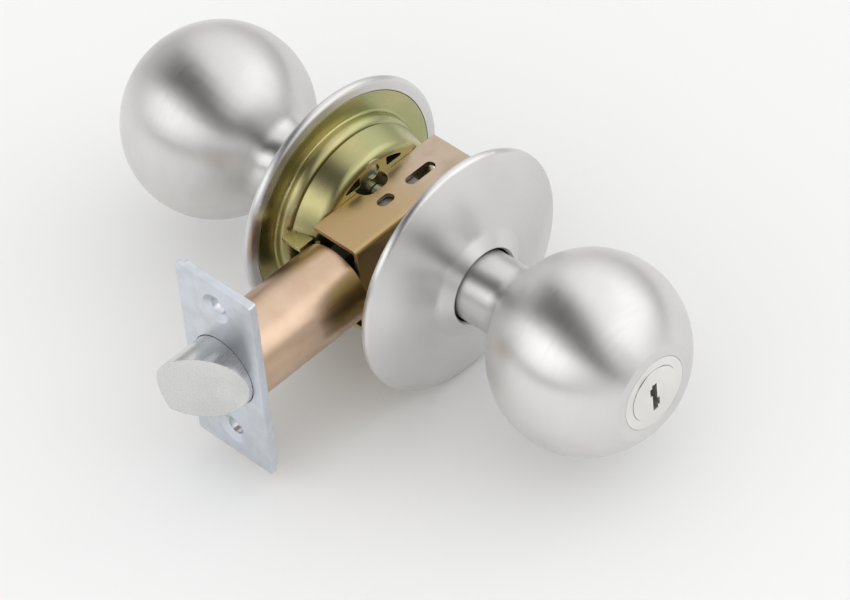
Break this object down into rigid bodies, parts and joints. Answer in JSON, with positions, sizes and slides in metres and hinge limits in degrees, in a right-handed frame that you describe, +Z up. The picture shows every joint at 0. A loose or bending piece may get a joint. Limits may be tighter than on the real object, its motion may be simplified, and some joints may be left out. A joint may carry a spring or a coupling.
{
  "type": "keyed door knob",
  "caption": "Keyed ball-knob lockset: satin knobs and roses either side of a door, a chassis with a retractor between them, and a spring latch that the knobs draw back.",
  "frame": {"origin": "where the knob axis meets the latch axis, in the middle of the door's thickness", "axes": "+Y along the knob axis towards the inside of the door, +Z up, the latch faceplate towards -X"},
  "size_m": [0.1063, 0.175, 0.066],
  "materials": {
    "satin_stainless": "satin stainless, fine turned grain",
    "yellow_zinc": "yellow chromated zinc plate",
    "tan_zinc": "tan chromated zinc plate",
    "copper_plate": "copper-coloured plate",
    "bright_zinc": "bright bluish zinc plate",
    "bolt_steel": "polished steel with a satin bevel",
    "brass": "machined brass",
    "nickel_plate": "satin nickel plate over brass",
    "plain_steel": "plain zinc-plated steel",
    "spring_steel": "drawn spring wire",
    "cast_zinc": "die-cast zinc"
  },
  "bodies": {
    "chassis": {"chassis_frame": "tan_zinc", "inside_end_plate": "yellow_zinc", "outside_hub": "plain_steel", "inside_hub": "plain_steel", "outside_rose": "satin_stainless", "inside_rose": "satin_stainless", "outside_rose_liner": "yellow_zinc", "inside_mounting_plate": "yellow_zinc", "mounting_screws": "bright_zinc", "latch_tube": "copper_plate", "latch_faceplate": "bright_zinc", "latch_backing_plate": "bright_zinc", "latch_tube_washer": "plain_steel", "retractor_springs": "spring_steel", "latch_bolt_spring": "spring_steel"},
    "outside_knob_body": {"outside_knob": "satin_stainless", "outside_spindle": "plain_steel", "outside_catch_carrier": "plain_steel", "outside_catch_spring": "spring_steel", "lock_cylinder": "nickel_plate", "driver_pins": "brass", "pin_springs": "spring_steel", "pin_cover": "brass"},
    "inside_knob_body": {"inside_knob": "satin_stainless", "inside_spindle": "plain_steel", "inside_catch_carrier": "plain_steel", "inside_catch_spring": "spring_steel", "spindle_end_cap": "plain_steel", "button_spring": "spring_steel"},
    "plug_body": {"key_plug": "nickel_plate", "key_pins": "brass", "plug_clip": "plain_steel", "tailpiece": "plain_steel"},
    "button_body": {"lock_button": "satin_stainless", "locking_bar": "plain_steel"},
    "outside_catch_body": {"outside_knob_catch": "plain_steel"},
    "inside_catch_body": {"inside_knob_catch": "plain_steel"},
    "retractor_body": {"retractor": "cast_zinc"},
    "bolt_body": {"latch_bolt": "bolt_steel", "latch_tail": "tan_zinc", "latch_tail_pin": "bolt_steel"}
  },
  "joints": [
    {"name": "outside_knob_turn", "type": "hinge", "parent": "chassis", "child": "outside_knob_body", "pos_m": [0, 0, 0], "axis": [0, 1, 0], "range_deg": [0, 65], "stiffness_Nm_per_rad": 0.3},
    {"name": "inside_knob_turn", "type": "hinge", "parent": "chassis", "child": "inside_knob_body", "pos_m": [0, 0, 0], "axis": [0, 1, 0], "range_deg": [-65, 65], "stiffness_Nm_per_rad": 0.3},
    {"name": "retractor_pull", "type": "slide", "parent": "chassis", "child": "retractor_body", "axis": [1, 0, 0], "range_m": [0, 0.0127], "deforming": ["retractor_springs"]},
    {"name": "latch_bolt_draw", "type": "slide", "parent": "chassis", "child": "bolt_body", "axis": [1, 0, 0], "range_m": [0, 0.0127], "deforming": ["latch_bolt_spring"]},
    {"name": "key_turn", "type": "hinge", "parent": "outside_knob_body", "child": "plug_body", "pos_m": [0, -0.07, 0], "axis": [0, 1, 0], "range_deg": [-90, 90]},
    {"name": "lock_button_push", "type": "slide", "parent": "inside_knob_body", "child": "button_body", "axis": [0, -1, 0], "range_m": [0, 0.0035], "stiffness_N_per_m": 150, "deforming": ["button_spring"]},
    {"name": "outside_catch_press", "type": "slide", "parent": "outside_knob_body", "child": "outside_catch_body", "axis": [0, 0, 1], "range_m": [0, 0.0015], "stiffness_N_per_m": 300, "deforming": ["outside_catch_spring"]},
    {"name": "inside_catch_press", "type": "slide", "parent": "inside_knob_body", "child": "inside_catch_body", "axis": [0, 0, 1], "range_m": [0, 0.0015], "stiffness_N_per_m": 300, "deforming": ["inside_catch_spring"]}
  ],
  "couplings": [
    {"joint": "retractor_pull", "follows": "outside_knob_turn", "m_per_rad": 0.011195},
    {"joint": "latch_bolt_draw", "follows": "outside_knob_turn", "m_per_rad": 0.011195}
  ]
}
